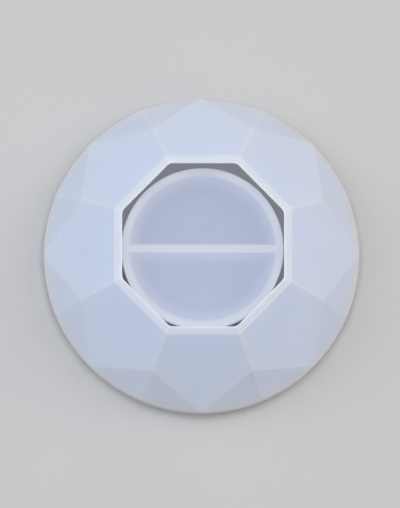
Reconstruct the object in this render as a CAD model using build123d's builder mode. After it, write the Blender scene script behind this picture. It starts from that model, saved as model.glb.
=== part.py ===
from build123d import *
import os
from math import atan, cos, radians, sin, tan

# Two-piece silicone mould for casting a gem-cut tealight holder, upside down, in resin.
# The shell has a round upright wall, then 8 large and 16 small flat facets rising to a
# sloping octagonal lip round an octagonal mouth. It is the same shape inside, one wall thickness
# smaller, with a flat floor. The core is a hollow plug: closed on top, open below, with one
# web across the hollow. It stands in a round seat in the floor, leaves the tealight well of
# the casting, and lifts out through the mouth.
#
# Millimetres, +Z up. The origin is the centre of the shell's flat underside. The core's
# web runs along X, and flats of the octagon face X and Y.

# Driving dimensions of the shell
outer_diameter = 80.0
height = 32.0
sides = 8
lip_across_flats = 44.9
lip_drop = 1.2                # from the mouth's edge down to the lip's outer edge
lip_land = 0.2                # flat strip round the mouth
mouth_across_flats = 41.0
mouth_corner_radius = 0.8
girdle_height = 7.4           # the points where facets meet on the round wall
crown_radius = 33.1           # the points where two large and two small facets meet
wall = 1.9
floor_thickness = 3.0
seat_depth = 1.2
underside_edge_radius = 0.5
inside_edge_radius = 1.0
gate_angle = -80.6            # stub of the trimmed moulding gate, low on the wall
gate_width = 1.6
gate_height = 0.8
gate_stub = 0.3

# Driving dimensions of the core
core_diameter = 40.8
core_top = 22.0               # above the underside of the shell, core in its seat
core_skin = 1.6
core_wall = 2.3               # just under the skin
web_thickness = 2.1           # just under the skin
web_lift = 1.0                # how far the web stops short of the core's foot
hollow_draft = 1.0            # degrees, so that the hollow widens downwards
seat_clearance = 0.15         # round the core's foot, on the radius
rim_edge_radius = 0.5
foot_edge_radius = 0.3
hollow_edge_radius = 0.8

# Worked out from the driving dimensions
outer_radius = outer_diameter / 2
side_angle = 360 / sides
crown_angle = side_angle / 2              # from the middle of a side to its corner
girdle_angle = side_angle / 4             # from the middle of a side to the middle of a small facet
lip_apothem = lip_across_flats / 2
lip_height = height - lip_drop
land_apothem = mouth_across_flats / 2 + lip_land
lip_slope = lip_drop / (lip_apothem - land_apothem)
large_slope = (lip_height - girdle_height) / (outer_radius - lip_apothem)
crown_height = lip_height - large_slope * (crown_radius * cos(radians(crown_angle)) - lip_apothem)
small_run = (outer_radius - crown_radius) * cos(radians(girdle_angle))
small_slope = (crown_height - girdle_height) / small_run
core_foot = floor_thickness - seat_depth
core_radius = core_diameter / 2
hollow_roof = core_top - core_skin
hollow_radius = core_radius - core_wall
hollow_foot_radius = hollow_radius + (hollow_roof - core_foot) * tan(radians(hollow_draft))
web_foot = core_foot + web_lift
web_foot_half = web_thickness / 2 - (hollow_roof - web_foot) * tan(radians(hollow_draft))
web_root_half = web_thickness / 2 + 2 * hollow_edge_radius


def facet_plane(angle, radius, z, slope, inset):
    """Plane of one facet: it faces out at angle, falls by slope, and holds the point at
    radius and z along that direction. inset moves it into the material."""
    tilt = atan(slope)
    normal = Vector(sin(tilt) * cos(radians(angle)), sin(tilt) * sin(radians(angle)), cos(tilt))
    point = Vector(radius * cos(radians(angle)), radius * sin(radians(angle)), z)
    return Plane(origin=point - normal * inset, z_dir=normal)


def facet_planes(inset):
    """Planes of the 8 large facets under the lip and the 16 small ones over the wall."""
    planes = []
    for side in range(sides):
        middle = side * side_angle
        planes.append(facet_plane(middle, lip_apothem, lip_height, large_slope, inset))
        for turn in (-girdle_angle, girdle_angle):
            girdle_distance = outer_radius * cos(radians(girdle_angle))
            planes.append(facet_plane(middle + turn, girdle_distance, girdle_height, small_slope, inset))
    return planes


# The space inside the shell, before the mouth is opened
with BuildPart() as cavity:
    with BuildSketch(Plane.XY.offset(floor_thickness)):
        Circle(outer_radius - wall)
    extrude(amount=height - floor_thickness)
    for facet in facet_planes(inset=wall):
        split(bisect_by=facet, keep=Keep.BOTTOM)
    fillet(cavity.faces().sort_by(Axis.Z)[0].edges(), radius=inside_edge_radius)

# Mould shell: one moulding, closed below and open at the mouth
with BuildPart() as mould_shell:
    with BuildSketch():
        Circle(outer_radius)
    extrude(amount=height)
    for facet in facet_planes(inset=0):
        split(bisect_by=facet, keep=Keep.BOTTOM)
    for side in range(sides):
        lip_facet = facet_plane(side * side_angle, land_apothem, height, lip_slope, inset=0)
        split(bisect_by=lip_facet, keep=Keep.BOTTOM)
    fillet(mould_shell.faces().sort_by(Axis.Z)[0].edges(), radius=underside_edge_radius)
    add(cavity.part, mode=Mode.SUBTRACT)
    with BuildSketch(Plane.XY.offset(height)):
        RegularPolygon(mouth_across_flats / 2, sides, major_radius=False, rotation=crown_angle)
        fillet(vertices(), radius=mouth_corner_radius)
    extrude(amount=core_top - height, mode=Mode.SUBTRACT)
    with BuildSketch(Plane.XY.offset(core_foot)):
        Circle(core_radius + seat_clearance)
    extrude(amount=seat_depth, mode=Mode.SUBTRACT)
    with BuildSketch(Plane.XY.offset(2 * underside_edge_radius)):
        with Locations(Location((0, 0, 0), (0, 0, gate_angle))):
            with Locations((outer_radius - wall / 2, 0)):
                Rectangle(wall + 2 * gate_stub, gate_width)
    extrude(amount=gate_height)

# Core insert: a round cup, upside down, and one web across its hollow
with BuildPart() as core_insert:
    with BuildSketch(Plane.XZ):
        with BuildLine():
            outline = FilletPolyline(
                (0, core_top),
                (core_radius, core_top),
                (core_radius, core_foot),
                (hollow_foot_radius, core_foot),
                (hollow_radius, hollow_roof),
                (0, hollow_roof),
                radius=[rim_edge_radius, foot_edge_radius, foot_edge_radius, hollow_edge_radius],
            )
            Line(outline @ 1, outline @ 0)
        make_face()
    revolve(axis=Axis.Z)
    with BuildSketch(Plane.YZ):
        with BuildLine():
            side = FilletPolyline(
                (web_root_half, hollow_roof),
                (web_thickness / 2, hollow_roof),
                (web_foot_half, web_foot),
                (0, web_foot),
                radius=[hollow_edge_radius, foot_edge_radius],
            )
            inside_skin = hollow_roof + core_skin / 2
            Polyline(side @ 1, (0, inside_skin), (web_root_half, inside_skin), side @ 0)
        make_face()
        mirror(about=Plane.YZ)
    extrude(amount=core_radius - core_wall / 2, both=True)

mould_shell.part.label = "mould_shell"
core_insert.part.label = "core_insert"

os.makedirs("parts", exist_ok=True)
export_step(mould_shell.part, "parts/mould_shell.step")
export_step(core_insert.part, "parts/core_insert.step")
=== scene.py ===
from math import atan, atan2, cos, pi, radians, sin, sqrt, tan

import bmesh
import bpy
from mathutils import Matrix, Vector


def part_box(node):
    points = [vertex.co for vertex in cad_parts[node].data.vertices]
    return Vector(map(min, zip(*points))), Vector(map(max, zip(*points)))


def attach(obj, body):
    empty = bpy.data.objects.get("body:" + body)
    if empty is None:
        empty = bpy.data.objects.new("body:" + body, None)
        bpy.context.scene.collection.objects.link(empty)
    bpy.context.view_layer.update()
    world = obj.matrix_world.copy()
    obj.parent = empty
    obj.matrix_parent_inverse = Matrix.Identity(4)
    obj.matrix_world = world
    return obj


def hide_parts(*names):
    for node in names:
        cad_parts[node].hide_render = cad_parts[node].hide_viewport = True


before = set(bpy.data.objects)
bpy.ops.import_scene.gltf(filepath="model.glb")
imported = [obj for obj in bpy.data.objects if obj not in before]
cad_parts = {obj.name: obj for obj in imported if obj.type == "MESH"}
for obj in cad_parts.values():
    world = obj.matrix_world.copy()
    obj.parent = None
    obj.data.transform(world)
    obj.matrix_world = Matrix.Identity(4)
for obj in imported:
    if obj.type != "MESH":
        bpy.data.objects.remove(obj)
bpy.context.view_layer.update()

# A two-piece silicone mould for a gem-cut tealight holder. Everything is in metres, in the
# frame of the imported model: the origin is the centre of the shell's underside, +Z goes up
# out of the mouth and +X runs along the core's web.

MM = 0.001
TINY = 1e-6                                # heights nearer than this are the same height
STEPS = 256                                # chords round every circle; a multiple of 16

# ---------------------------------------------------------------- sizes, from the frame
shell_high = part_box("mould_shell")[1]
core_low, core_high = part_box("core_insert")
OUTER_RADIUS = shell_high.x
HEIGHT = shell_high.z
CORE_RADIUS = core_high.x
CORE_FOOT = core_low.z
CORE_TOP = core_high.z

# ---------------------------------------------------------------- the shell's own sizes
SIDES = 8
LIP_APOTHEM = 22.45 * MM
LIP_DROP = 1.2 * MM
LIP_LAND = 0.2 * MM
MOUTH_APOTHEM = 20.5 * MM
GIRDLE_HEIGHT = 7.4 * MM                   # the points where facets meet on the round wall
CROWN_RADIUS = 33.1 * MM                   # the points where two large and two small facets meet
WALL = 1.9 * MM
FLOOR = 3.0 * MM
SEAT_RADIUS = CORE_RADIUS + 0.15 * MM
SIDE_ANGLE = 2 * pi / SIDES
CROWN_ANGLE = SIDE_ANGLE / 2
GIRDLE_ANGLE = SIDE_ANGLE / 4
LIP_HEIGHT = HEIGHT - LIP_DROP
LAND_APOTHEM = MOUTH_APOTHEM + LIP_LAND
LARGE_SLOPE = (LIP_HEIGHT - GIRDLE_HEIGHT) / (OUTER_RADIUS - LIP_APOTHEM)
CROWN_HEIGHT = LIP_HEIGHT - LARGE_SLOPE * (CROWN_RADIUS * cos(CROWN_ANGLE) - LIP_APOTHEM)
SMALL_SLOPE = (CROWN_HEIGHT - GIRDLE_HEIGHT) / ((OUTER_RADIUS - CROWN_RADIUS) * cos(GIRDLE_ANGLE))

# Edge softness: a mould tool leaves no knife edges in silicone
RIDGE_ROUND = 0.3 * MM
MOUTH_CORNER_ROUND = 0.8 * MM
UNDERSIDE_ROUND = 0.5 * MM
EDGE_TURN = radians(4)                     # a real edge turns more than this, two chords less
SHARP_TURN = radians(17)                   # an edge that turns this much is shaded sharp

# Soft silicone is never quite true: the mouth is a little narrower along X, fading downwards
SQUEEZE = 0.015
SQUEEZE_FROM = 0.4                         # of the height

# The stub of the trimmed moulding gate, low on the front of the wall
GATE_ANGLE = radians(-80.6)
GATE_WIDTH = 1.6 * MM
GATE_BOTTOM = 1.0 * MM
GATE_HEIGHT = 0.8 * MM
GATE_STUB = 0.3 * MM                       # how far it stands out along its upper edge
GATE_UNDERCUT = 0.6                        # of that along its lower edge

# ---------------------------------------------------------------- the core's own sizes
CORE_WALL = 2.3 * MM
SKIN = 1.6 * MM
WEB = 2.1 * MM
HOLLOW_DRAFT = radians(1.0)
RIM_ROUND = 0.5 * MM
FOOT_ROUND = 0.3 * MM
HOLLOW_ROUND = 0.8 * MM                    # along the hollow's roof
HOLLOW_CORNER = 1.2 * MM                   # where the web meets the round wall

# Segments across a bevel or a rounded edge, and along the half-moons of the hollow
BEVEL_SEGMENTS = 6
ROUND_STEPS = 6
ARC_STEPS = 120
CORNER_STEPS = 10
WEB_STEPS = 48

# ---------------------------------------------------------------- the silicone's depth and its painted light
# How deep the silicone looks, from 0, thin and bluish, to 1, deep and milky
RIDGE_DEPTH, RIDGE_BLUR = 0.25, 4 * MM
LIP_DEPTH, LIP_BLUR = 0.6, 0.6 * MM
FOOT_TOP, FOOT_FULL = 11 * MM, 7 * MM      # heights where the foot's depth starts and is full
WALL_BLUR = 0.9 * MM                       # how softly the wall and the web show through the skin
WEB_DEPTH, WEB_BLUR = 0.95, 0.4 * MM
FACE_DEPTH, FACE_SPREAD = 0.35, 3.4 * MM   # the same for their upright faces

# Painted light, an emission in place of the light that comes through the walls: the heights where
# it starts and where it is full
# Painted highlight: the land round the mouth glows as a bright line
PAINTED_EDGE_HIGHLIGHT = (HEIGHT - 0.05 * MM, HEIGHT - 0.01 * MM)
# Painted light: a glow over the core's ring and web, on its top
PAINTED_CORE_GLOW = (CORE_TOP - 1.5 * MM, CORE_TOP - 0.2 * MM)
# Painted light: a glow over the cavity inside the shell, strongest in the mouth
PAINTED_WELL_GLOW = (CORE_TOP, CORE_TOP + 4 * MM)
PAINTED_CAVITY_GLOW = 0.22                        # its strength below those, in the deep cavity

# Patterns
CLOUD_SIZE = 14 * MM
GRAIN_SIZE = 0.5 * MM
BOARD_CLOUD_SIZE = 60 * MM

# ---------------------------------------------------------------- the stage's sizes
BOARD_SIZE = 3.0
BOARD_GAP = 0.05 * MM                      # keeps the board's face clear of the underside
CAMERA_DISTANCE = 1.5
CAMERA_TILT = radians(6.1)                 # off the vertical
CAMERA_SIDE = radians(-8.4)                # the tilt's direction, from straight in front
VIEW_HEIGHT = 128.67 * MM                  # from top to bottom of the view, at the girdle
VIEW_LEFT, VIEW_UP = 0.405 * MM, 0.203 * MM
SENSOR = 36                                # in millimetres, along the view's longer side


# ---------------------------------------------------------------- mesh helpers
def piece_from(bm, name, *materials):
    """A new object from bm, smooth shaded. Each face keeps its index into the materials."""
    mesh = bpy.data.meshes.new(name)
    bm.to_mesh(mesh)
    bm.free()
    for polygon in mesh.polygons:
        polygon.use_smooth = True
    for material in materials:
        mesh.materials.append(material)
    piece = bpy.data.objects.new(name, mesh)
    bpy.context.scene.collection.objects.link(piece)
    return piece


def even_normals(piece):
    """Keeps the flat faces flat in the shading."""
    normals = piece.modifiers.new("even_normals", "WEIGHTED_NORMAL")
    normals.keep_sharp = True


def settle(bm):
    """Puts the vertices, edges and faces, and each face's first corner, in an order that comes
    from their places alone, because the order that a bevel leaves can change from run to run."""
    places = sorted(bm.verts, key=lambda v: [round(c / TINY) for c in v.co])
    order = {v: i for i, v in enumerate(places)}
    rows = []
    for face in bm.faces:
        corners = list(face.verts)
        first = min(range(len(corners)), key=lambda i: order[corners[i]])
        rows.append((corners[first:] + corners[:first], face.material_index))
    rows.sort(key=lambda row: [order[v] for v in row[0]])
    for face in list(bm.faces):
        bm.faces.remove(face)
    for corners, material_index in rows:
        bm.faces.new(corners).material_index = material_index
    edges = sorted(bm.edges, key=lambda e: sorted(order[v] for v in e.verts))
    edge_order = {e: i for i, e in enumerate(edges)}
    bm.verts.sort(key=order.get)
    bm.edges.sort(key=edge_order.get)


def ring(bm, radius, z):
    """One circle of vertices."""
    turns = [2 * pi * i / STEPS for i in range(STEPS)]
    return [bm.verts.new((radius * cos(a), radius * sin(a), z)) for a in turns]


def bridge(bm, lower, upper):
    """Quads between two closed loops with the same number of vertices."""
    count = len(lower)
    for i in range(count):
        j = (i + 1) % count
        bm.faces.new((lower[i], lower[j], upper[j], upper[i]))


# ---------------------------------------------------------------- the shell
def facet_plane(angle, radius, z, slope, inset=0):
    """(point, normal) of one facet: it faces out at angle and holds the point at radius and z."""
    tilt = atan(slope)
    normal = Vector((sin(tilt) * cos(angle), sin(tilt) * sin(angle), cos(tilt)))
    return Vector((radius * cos(angle), radius * sin(angle), z)) - normal * inset, normal


def facet_planes(inset):
    """The 8 large facets and the 16 small ones, moved inwards by inset."""
    planes = []
    for side in range(SIDES):
        middle = side * SIDE_ANGLE
        planes.append(facet_plane(middle, LIP_APOTHEM, LIP_HEIGHT, LARGE_SLOPE, inset))
        for turn in (-GIRDLE_ANGLE, GIRDLE_ANGLE):
            girdle = OUTER_RADIUS * cos(GIRDLE_ANGLE)
            planes.append(facet_plane(middle + turn, girdle, GIRDLE_HEIGHT, SMALL_SLOPE, inset))
    return planes


def lip_planes():
    """The 8 gentle slopes of the lip, from the land round the mouth down to the large facets."""
    slope = LIP_DROP / (LIP_APOTHEM - LAND_APOTHEM)
    return [facet_plane(side * SIDE_ANGLE, LAND_APOTHEM, HEIGHT, slope) for side in range(SIDES)]


def cut(bm, others, planes):
    """Cuts all but the other faces by each plane and closes the cut. Returns the faces left."""
    for point, normal in planes:
        # Each face, edge and vertex once, in the mesh's own order
        faces = [f for f in bm.faces if f not in others]
        edges = dict.fromkeys(e for f in faces for e in f.edges)
        verts = dict.fromkeys(v for f in faces for v in f.verts)
        sliced = bmesh.ops.bisect_plane(
            bm, geom=[*faces, *edges, *verts], dist=TINY / 10, plane_co=point, plane_no=normal,
            clear_outer=True,
        )
        rim = [g for g in sliced["geom_cut"] if isinstance(g, bmesh.types.BMEdge)]
        bmesh.ops.contextual_create(bm, geom=rim)
    return [f for f in bm.faces if f not in others]


def gem(bm, radius, bottom, top, planes):
    """A closed drum from bottom to top, cut by the planes. Returns its faces."""
    others = set(bm.faces)
    low, high = ring(bm, radius, bottom), ring(bm, radius, top)
    bm.faces.new(list(reversed(low)))
    bm.faces.new(high)
    bridge(bm, low, high)
    return cut(bm, others, planes)


def flat_face(faces, z):
    """The horizontal face at height z."""
    return next(f for f in faces if all(abs(v.co.z - z) < TINY for v in f.verts))


def by_angle(loop):
    """The loop's vertices in order round the Z axis, from +X."""
    slack = 0.001                          # radians, so that a vertex on +X never comes last
    return sorted(loop, key=lambda v: (atan2(v.co.y, v.co.x) + slack) % (2 * pi))


def bevel(bm, edges, width):
    """Rounds the edges over width on each side of them."""
    bmesh.ops.bevel(bm, geom=edges, offset=width, offset_type="OFFSET",
                    segments=BEVEL_SEGMENTS, profile=0.5, affect="EDGES")


def round_edges(bm, width, wanted):
    """Rounds the edges whose lowest and highest z are wanted, but not the circles' chords."""
    bm.normal_update()
    edges = []
    for edge in bm.edges:
        low, high = sorted(v.co.z for v in edge.verts)
        if edge.calc_face_angle(0) > EDGE_TURN and wanted(low, high):
            edges.append(edge)
    bevel(bm, edges, width)


def gate_stub(bm):
    """The short broken tab that the trimmed gate leaves on the wall."""
    turn = Matrix.Rotation(GATE_ANGLE, 4, "Z")
    root, tip = OUTER_RADIUS - WALL / 2, OUTER_RADIUS + GATE_STUB
    corners = []
    for z, reach in ((GATE_BOTTOM, GATE_UNDERCUT), (GATE_BOTTOM + GATE_HEIGHT, 1)):
        for x, y in ((0, -1), (1, -1), (1, 1), (0, 1)):
            out = root + (tip - root) * x - x * (1 - reach) * GATE_STUB
            corners.append(bm.verts.new(turn @ Vector((out, y * GATE_WIDTH / 2, z))))
    bridge(bm, corners[:4], corners[4:])
    bm.faces.new(list(reversed(corners[:4])))
    bm.faces.new(corners[4:])


def make_shell(outside_material, inside_material):
    # The outside: ridges and girdle are rounded together, before the lip is cut, so that the
    # lip's own corners stay crisp
    bm = bmesh.new()
    gem(bm, OUTER_RADIUS, 0, HEIGHT, facet_planes(0))
    round_edges(bm, RIDGE_ROUND, lambda low, high: TINY < low < HEIGHT - TINY)
    round_edges(bm, UNDERSIDE_ROUND, lambda low, high: high < TINY)
    outside = cut(bm, set(), lip_planes())
    lip_face = flat_face(outside, HEIGHT)
    lip_loop = by_angle(lip_face.verts)
    bm.faces.remove(lip_face)
    outer_faces = set(bm.faces)

    # The cavity, up to where its large facets reach the mouth, then a short straight wall
    inset_run = WALL / sin(atan(LARGE_SLOPE))
    mouth_foot = LIP_HEIGHT - LARGE_SLOPE * (MOUTH_APOTHEM - (LIP_APOTHEM - inset_run))
    inside = gem(bm, OUTER_RADIUS - WALL, FLOOR, mouth_foot, facet_planes(WALL))
    mouth_face, floor_face = flat_face(inside, mouth_foot), flat_face(inside, FLOOR)
    mouth_loop, floor_loop = by_angle(mouth_face.verts), by_angle(floor_face.verts)
    bm.faces.remove(mouth_face)
    bm.faces.remove(floor_face)
    rim_loop = [bm.verts.new((v.co.x, v.co.y, HEIGHT)) for v in mouth_loop]

    # The floor, with the shallow seat for the core
    seat_rim, seat_foot = ring(bm, SEAT_RADIUS, FLOOR), ring(bm, SEAT_RADIUS, CORE_FOOT)
    bridge(bm, floor_loop, by_angle(seat_rim))
    bridge(bm, seat_rim, seat_foot)
    bm.faces.new(seat_foot)
    for face in bm.faces:
        face.material_index = 0 if face in outer_faces else 1

    # The mouth's wall and the land round it, with the wall's upright corners rounded
    bridge(bm, mouth_loop, rim_loop)
    bridge(bm, rim_loop, lip_loop)
    bmesh.ops.recalc_face_normals(bm, faces=bm.faces)
    upright = [e for v in rim_loop for e in v.link_edges if e.other_vert(v).co.z < HEIGHT - TINY]
    bevel(bm, upright, MOUTH_CORNER_ROUND)

    gate_stub(bm)
    for vert in bm.verts:
        high = max(0, vert.co.z / HEIGHT - SQUEEZE_FROM) / (1 - SQUEEZE_FROM)
        vert.co.x *= 1 - SQUEEZE * high * high
    for edge in bm.edges:
        edge.smooth = edge.calc_face_angle(0) < SHARP_TURN
    settle(bm)
    shell = piece_from(bm, "shell_moulding", outside_material, inside_material)
    even_normals(shell)
    return shell


# ---------------------------------------------------------------- the core
def half_moon(bm, spread, z, side):
    """Loop of one half of the hollow at height z, grown by spread from its size under the
    skin. side is +1 behind the web and -1 in front of it."""
    radius = CORE_RADIUS - CORE_WALL + spread
    web = WEB / 2 - spread
    corner = HOLLOW_CORNER
    corner_x = sqrt((radius - corner) ** 2 - (web + corner) ** 2)
    swing = atan2(web + corner, corner_x)
    loop = []
    for i in range(ARC_STEPS + 1):
        a = swing + (pi - 2 * swing) * i / ARC_STEPS
        loop.append((radius * cos(a), radius * sin(a)))
    for i in range(1, CORNER_STEPS + 1):
        a = pi - swing + (swing + pi / 2) * i / CORNER_STEPS
        loop.append((-corner_x + corner * cos(a), web + corner + corner * sin(a)))
    for i in range(1, WEB_STEPS):
        loop.append((-corner_x + 2 * corner_x * i / WEB_STEPS, web))
    for i in range(CORNER_STEPS):
        a = -pi / 2 + (swing + pi / 2) * i / CORNER_STEPS
        loop.append((corner_x + corner * cos(a), web + corner + corner * sin(a)))
    if side < 0:
        loop = [(x, -y) for x, y in reversed(loop)]
    return [bm.verts.new((x, y, z)) for x, y in loop]


def make_core(material):
    bm = bmesh.new()
    quarter = [pi / 2 * i / ROUND_STEPS for i in range(ROUND_STEPS + 1)]

    # Outside, from the rounded foot up over the rounded rim to the closed top
    profile = [(FOOT_ROUND * sin(a), FOOT_ROUND * (1 - cos(a))) for a in quarter]
    rings = [ring(bm, CORE_RADIUS - FOOT_ROUND + out, CORE_FOOT + rise) for out, rise in profile]
    profile = [(RIM_ROUND * cos(a), RIM_ROUND * (sin(a) - 1)) for a in quarter]
    rings += [ring(bm, CORE_RADIUS - RIM_ROUND + out, CORE_TOP + rise) for out, rise in profile]
    for lower, upper in zip(rings, rings[1:]):
        bridge(bm, lower, upper)
    bm.faces.new(rings[-1])
    foot_edges = [e for e in bm.edges if all(v in set(rings[0]) for v in e.verts)]

    # The two halves of the hollow, from the foot up the drafted walls to the skin. Each row of
    # the profile is how far the hollow has grown there, and its height
    roof = CORE_TOP - SKIN
    drafted = (roof - CORE_FOOT) * tan(HOLLOW_DRAFT)
    profile = [(drafted + FOOT_ROUND * (1 - sin(a)), CORE_FOOT + FOOT_ROUND * (1 - cos(a)))
               for a in quarter]
    profile += [(HOLLOW_ROUND * (cos(a) - 1), roof + HOLLOW_ROUND * (sin(a) - 1))
                for a in quarter]
    for side in (1, -1):
        loops = [half_moon(bm, spread, z, side) for spread, z in profile]
        for lower, upper in zip(loops, loops[1:]):
            bridge(bm, lower, upper)
        bm.faces.new(loops[-1])
        foot = set(loops[0])
        foot_edges += [e for e in bm.edges if all(v in foot for v in e.verts)]

    # The ring that the core stands on, and the web's lower edge
    bmesh.ops.triangle_fill(bm, use_beauty=True, use_dissolve=False, edges=foot_edges,
                            normal=(0, 0, -1))
    bmesh.ops.recalc_face_normals(bm, faces=bm.faces)
    core = piece_from(bm, "core_moulding", material)
    even_normals(core)
    return core


# ---------------------------------------------------------------- materials
def linear(hex_colour):
    """An sRGB hex colour as the linear values that a shader takes."""
    parts = [int(hex_colour[i:i + 2], 16) / 255 for i in (0, 2, 4)]
    return (*(p / 12.92 if p <= 0.04045 else ((p + 0.055) / 1.055) ** 2.4 for p in parts), 1)


def add_node(tree, kind, inputs=None, **settings):
    """Adds one node. inputs names its sockets, each with a value or the output it is linked
    to. Sockets that share a name go by number: 0 and 1 are the two sides of a sum, and 0, 6
    and 7 the share and the two colours of a mix."""
    node = tree.nodes.new(kind)
    for name, value in settings.items():
        setattr(node, name, value)
    for socket, source in (inputs or {}).items():
        if isinstance(source, bpy.types.NodeSocket):
            tree.links.new(source, node.inputs[socket])
        else:
            node.inputs[socket].default_value = source
    return node


def moulded_silicone(name, thin, deep, depth, glow, lit):
    """Platinum silicone, compression moulded in a blasted tool: milky and satin, its light from
    inside painted in as an emission. Its colour is thin where there is little of it and deep where
    the eye looks down into
    a deep wall: depth(tree, place) gives that, from 0 to 1. glow is painted light, an emission that
    stands in for the light that comes through the walls, where lit(tree, place) is 1."""
    material = bpy.data.materials.new(name)
    material.use_nodes = True
    tree = material.node_tree
    shader = tree.nodes["Principled BSDF"]
    place = add_node(tree, "ShaderNodeTexCoord").outputs["Object"]

    # Cloudy patches, 14 mm across, from uneven filler and handling
    cloud = add_node(tree, "ShaderNodeTexNoise", {
        "Vector": place, "Scale": 1 / CLOUD_SIZE, "Detail": 2.0,
    })
    shade = add_node(tree, "ShaderNodeMapRange", {
        "Value": cloud.outputs[0], "From Min": 0.3, "From Max": 0.7, "To Min": 0.975, "To Max": 1.0,
    })
    tint = add_node(tree, "ShaderNodeMix", {
        0: depth(tree, place), 6: linear(thin), 7: linear(deep),
    }, data_type="RGBA")
    paint = add_node(tree, "ShaderNodeVectorMath", {
        0: tint.outputs[2], "Scale": shade.outputs[0],
    }, operation="SCALE")
    tree.links.new(paint.outputs[0], shader.inputs["Base Color"])

    # The blasted tool's grain, 0.1 mm on the real thing, drawn at 0.5 mm so that it shows
    grain = add_node(tree, "ShaderNodeTexNoise", {
        "Vector": place, "Scale": 1 / GRAIN_SIZE, "Detail": 3.0,
    })
    bump = add_node(tree, "ShaderNodeBump", {
        "Height": grain.outputs[0], "Strength": 0.12, "Distance": 0.05 * MM,
    })
    tree.links.new(bump.outputs[0], shader.inputs["Normal"])

    shader.inputs["Roughness"].default_value = 0.48
    shader.inputs["IOR"].default_value = 1.41
    shader.inputs["Subsurface Weight"].default_value = 1.0
    shader.inputs["Subsurface Radius"].default_value = (2.0, 2.2, 2.5)
    shader.inputs["Subsurface Scale"].default_value = 1 * MM
    # Painted light: the emission glows without a lamp, in place of light through the walls
    shader.inputs["Emission Color"].default_value = linear(glow)
    tree.links.new(lit(tree, place), shader.inputs["Emission Strength"])
    return material


def shell_depth(tree, place):
    """Deep in the foot and the lip, and a little along the ridges. Thin in the facets."""
    xyz = add_node(tree, "ShaderNodeSeparateXYZ", {0: place})
    flat = add_node(tree, "ShaderNodeVectorMath", {0: place, 1: (1, 1, 0)}, operation="MULTIPLY")
    radius = add_node(tree, "ShaderNodeVectorMath", {0: flat.outputs[0]}, operation="LENGTH")

    # Every side folded onto one half side: the angle from its middle, and the point there
    turn = add_node(tree, "ShaderNodeMath", {
        0: xyz.outputs["Y"], 1: xyz.outputs["X"],
    }, operation="ARCTAN2")
    fold = add_node(tree, "ShaderNodeMath", {
        0: turn.outputs[0], 1: CROWN_ANGLE,
    }, operation="PINGPONG")
    cosine = add_node(tree, "ShaderNodeMath", {0: fold.outputs[0]}, operation="COSINE")
    sine = add_node(tree, "ShaderNodeMath", {0: fold.outputs[0]}, operation="SINE")
    unit = add_node(tree, "ShaderNodeCombineXYZ", {"X": cosine.outputs[0], "Y": sine.outputs[0]})
    folded = add_node(tree, "ShaderNodeVectorMath", {
        0: unit.outputs[0], "Scale": radius.outputs["Value"],
    }, operation="SCALE")

    # One ridge runs straight out from each corner of the lip; the others slope from the crown
    # points to the girdle
    straight = Vector((sin(CROWN_ANGLE), -cos(CROWN_ANGLE), 0))
    crown = Vector((CROWN_RADIUS * cos(CROWN_ANGLE), CROWN_RADIUS * sin(CROWN_ANGLE), 0))
    girdle = Vector((OUTER_RADIUS, 0, 0))
    sloping = (girdle - crown).cross(Vector((0, 0, 1))).normalized()
    nearest = None
    for across, offset in ((straight, 0), (sloping, sloping.dot(girdle))):
        reach = add_node(tree, "ShaderNodeVectorMath", {
            0: folded.outputs[0], 1: across,
        }, operation="DOT_PRODUCT")
        gap = add_node(tree, "ShaderNodeMath", {
            0: reach.outputs["Value"], 1: offset,
        }, operation="SUBTRACT")
        gap = add_node(tree, "ShaderNodeMath", {0: gap.outputs[0]}, operation="ABSOLUTE")
        if nearest is not None:
            gap = add_node(tree, "ShaderNodeMath", {
                0: nearest, 1: gap.outputs[0],
            }, operation="MINIMUM")
        nearest = gap.outputs[0]

    depth = add_node(tree, "ShaderNodeMapRange", {
        "Value": nearest, "From Min": RIDGE_BLUR, "From Max": 0.0, "To Max": RIDGE_DEPTH,
    }, interpolation_type="SMOOTHSTEP").outputs[0]
    for start, full, most in (
        (FOOT_TOP, FOOT_FULL, 1.0),
        (LIP_HEIGHT - LIP_BLUR, LIP_HEIGHT, LIP_DEPTH),
    ):
        part = add_node(tree, "ShaderNodeMapRange", {
            "Value": xyz.outputs["Z"], "From Min": start, "From Max": full, "To Max": most,
        }, interpolation_type="SMOOTHSTEP")
        depth = add_node(tree, "ShaderNodeMath", {
            0: depth, 1: part.outputs[0],
        }, operation="MAXIMUM").outputs[0]
    return depth


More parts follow.
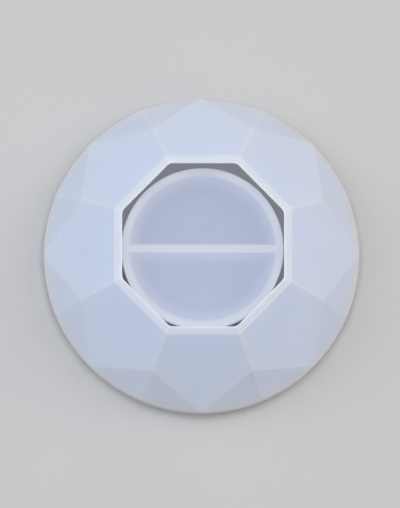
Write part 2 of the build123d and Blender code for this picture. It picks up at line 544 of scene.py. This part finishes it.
def core_depth_and_glow(tree, place):
    """Deep over the round wall and the web, thin in the skin over the hollow. Beside each of
    them its upright face shows faintly through the skin, the web's only in front. The same mask
    places the core's painted glow, so the band in front of the web is painted light on one side."""
    y = add_node(tree, "ShaderNodeSeparateXYZ", {0: place}).outputs["Y"]
    flat = add_node(tree, "ShaderNodeVectorMath", {0: place, 1: (1, 1, 0)}, operation="MULTIPLY")
    radius = add_node(tree, "ShaderNodeVectorMath", {0: flat.outputs[0]}, operation="LENGTH")
    wall = CORE_RADIUS - CORE_WALL
    depth = None
    for shift, start, full, most in (
        (None, wall - WALL_BLUR, wall + WALL_BLUR, 1.0),
        (None, wall - FACE_SPREAD, wall, FACE_DEPTH),
        (0, WEB / 2 + WEB_BLUR, WEB / 2 - WEB_BLUR, WEB_DEPTH),
        (FACE_SPREAD / 2, (WEB + FACE_SPREAD) / 2, (WEB - FACE_SPREAD) / 2, FACE_DEPTH),
    ):
        # The wall's two rows go by the distance from the axis, the web's by that from its middle
        away = radius.outputs["Value"]
        if shift is not None:
            middle = add_node(tree, "ShaderNodeMath", {0: y, 1: shift}, operation="ADD")
            away = add_node(tree, "ShaderNodeMath", {
                0: middle.outputs[0],
            }, operation="ABSOLUTE").outputs[0]
        part = add_node(tree, "ShaderNodeMapRange", {
            "Value": away, "From Min": start, "From Max": full, "To Max": most,
        }, interpolation_type="SMOOTHSTEP")
        if depth is not None:
            part = add_node(tree, "ShaderNodeMath", {
                0: depth, 1: part.outputs[0],
            }, operation="MAXIMUM")
        depth = part.outputs[0]
    return depth


def painted_edge_highlight(tree, place):
    """Painted highlight: on the outside, only the thin edge of the mouth glows, a bright line round
    it.
    """
    xyz = add_node(tree, "ShaderNodeSeparateXYZ", {0: place})
    start, full = PAINTED_EDGE_HIGHLIGHT
    return add_node(tree, "ShaderNodeMapRange", {
        "Value": xyz.outputs["Z"], "From Min": start, "From Max": full,
    }).outputs[0]


def painted_well_glow(tree, place):
    """Painted light: on the inside, a glow in place of the light that the walls pass, stronger on
    the walls of the mouth than in the deep cavity.
    """
    xyz = add_node(tree, "ShaderNodeSeparateXYZ", {0: place})
    start, full = PAINTED_WELL_GLOW
    return add_node(tree, "ShaderNodeMapRange", {
        "Value": xyz.outputs["Z"], "From Min": start, "From Max": full, "To Min": PAINTED_CAVITY_GLOW,
    }).outputs[0]


def painted_core_glow(tree, place):
    """Painted light: a glow on the core's top, not its sides, in place of the light in the shell's
    walls that reaches it through the lip's shadow.
    """
    xyz = add_node(tree, "ShaderNodeSeparateXYZ", {0: place})
    start, full = PAINTED_CORE_GLOW
    top = add_node(tree, "ShaderNodeMapRange", {
        "Value": xyz.outputs["Z"], "From Min": start, "From Max": full,
    })
    return add_node(tree, "ShaderNodeMath", {
        0: core_depth_and_glow(tree, place), 1: top.outputs[0],
    }, operation="MULTIPLY").outputs[0]


def matt_board():
    """Matt painted board: a broad, nearly even tone with no gloss."""
    material = bpy.data.materials.new("matt_pale_board")
    material.use_nodes = True
    tree = material.node_tree
    place = add_node(tree, "ShaderNodeTexCoord").outputs["Object"]
    cloud = add_node(tree, "ShaderNodeTexNoise", {"Vector": place, "Scale": 1 / BOARD_CLOUD_SIZE})
    tint = add_node(tree, "ShaderNodeMix", {
        0: cloud.outputs[0], 6: linear("b7b8ba"), 7: linear("bbbcbe"),
    }, data_type="RGBA")
    shader = tree.nodes["Principled BSDF"]
    tree.links.new(tint.outputs[2], shader.inputs["Base Color"])
    shader.inputs["Roughness"].default_value = 0.8
    return material


# ---------------------------------------------------------------- the two pieces
shell = make_shell(
    # Outside: a painted highlight along the mouth's edge
    moulded_silicone("milky_silicone_outside_painted_edge_highlight", thin="ced8ed", deep="d4d7df", depth=shell_depth,
                     glow="484848", lit=painted_edge_highlight),
    # Inside: a greyer copy of the silicone, with a painted glow all over the cavity
    moulded_silicone("milky_silicone_inside_painted_glow", thin="c4c8d0", deep="c4c8d0", depth=shell_depth,
                     glow="a0a0a0", lit=painted_well_glow),
)
core = make_core(
    # The core: the same silicone painted darker, with a painted glow on its ring and web that lifts
    # the lip's shadow
    moulded_silicone("milky_silicone_core_painted_glow", thin="a5afc5", deep="9a9eab", depth=core_depth_and_glow,
                     glow="8d9098", lit=painted_core_glow),
)
for piece, node, body, slot in (
    (shell, "mould_shell", "shell", "shell_silicone"),
    (core, "core_insert", "core", "core_silicone"),
):
    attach(piece, body)
    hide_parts(node)

# ---------------------------------------------------------------- the floor
half = BOARD_SIZE / 2
floor_mesh = bpy.data.meshes.new("floor")
floor_mesh.from_pydata(
    [(-half, -half, 0), (half, -half, 0), (half, half, 0), (-half, half, 0)], [], [(0, 1, 2, 3)],
)
floor_mesh.materials.append(matt_board())
floor = bpy.data.objects.new("floor", floor_mesh)
floor.location.z = -BOARD_GAP
bpy.context.scene.collection.objects.link(floor)

# ---------------------------------------------------------------- light
world = bpy.data.worlds.new("studio")
world.use_nodes = True
background = world.node_tree.nodes["Background"]
background.inputs["Color"].default_value = linear("fffaf3")
background.inputs["Strength"].default_value = 0.36
bpy.context.scene.world = world


def soft_box(name, where, size, power, colour):
    """A large square lamp that faces the mould."""
    lamp = bpy.data.lights.new(name, "AREA")
    lamp.size = size
    lamp.energy = power
    lamp.color = linear(colour)[:3]
    holder = bpy.data.objects.new(name, lamp)
    holder.location = where
    holder.rotation_mode = "QUATERNION"
    holder.rotation_quaternion = Vector(where).to_track_quat("Z", "Y")
    bpy.context.scene.collection.objects.link(holder)


soft_box("overhead", where=(0, 0.08, 1.7), size=0.8, power=16.6, colour="f9fbff")
soft_box("left", where=(-0.9, 0.3, 0.95), size=0.8, power=4.6, colour="ecf5ff")
soft_box("right", where=(0.9, 0.3, 0.95), size=0.8, power=4.6, colour="fff4e6")

# ---------------------------------------------------------------- camera
back = Vector((
    sin(CAMERA_SIDE) * sin(CAMERA_TILT), -cos(CAMERA_SIDE) * sin(CAMERA_TILT), cos(CAMERA_TILT),
))
up = (Vector((0, 1, 0)) - Vector((0, 1, 0)).dot(back) * back).normalized()
right = up.cross(back)
target = Vector((0, 0, GIRDLE_HEIGHT))
camera_data = bpy.data.cameras.new("camera")
camera_data.sensor_width = SENSOR
camera_data.lens = SENSOR * CAMERA_DISTANCE / VIEW_HEIGHT
camera = bpy.data.objects.new("camera", camera_data)
camera.matrix_world = Matrix((
    (right.x, up.x, back.x, 0),
    (right.y, up.y, back.y, 0),
    (right.z, up.z, back.z, 0),
    (0, 0, 0, 1),
))
camera.location = target + back * CAMERA_DISTANCE - right * VIEW_LEFT + up * VIEW_UP
bpy.context.scene.collection.objects.link(camera)
bpy.context.scene.camera = camera
bpy.context.scene.view_settings.view_transform = "Standard"
